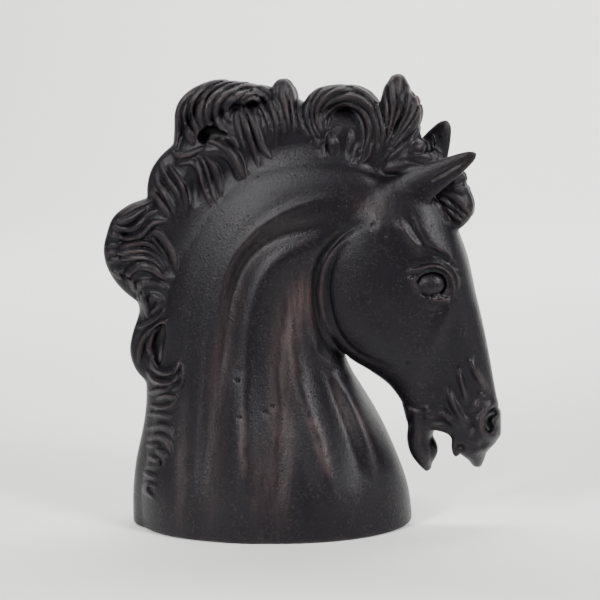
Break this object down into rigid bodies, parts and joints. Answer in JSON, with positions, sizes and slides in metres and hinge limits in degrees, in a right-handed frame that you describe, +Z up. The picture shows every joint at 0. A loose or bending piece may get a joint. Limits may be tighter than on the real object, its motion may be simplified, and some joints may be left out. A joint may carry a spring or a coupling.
{
  "type": "horse head sculpture",
  "caption": "Horse head and neck sculpture in dark cast stone, with a deeply carved curling mane, cut flat below the neck.",
  "frame": {"origin": "middle of the flat underside of the neck", "axes": "+X the way the horse looks, +Z up, -Y the side that the near ear is on"},
  "size_m": [0.4424, 0.1868, 0.5006],
  "materials": {
    "cast_stone": "satin"
  },
  "bodies": {
    "root": {"horse_head": "cast_stone"}
  },
  "joints": []
}
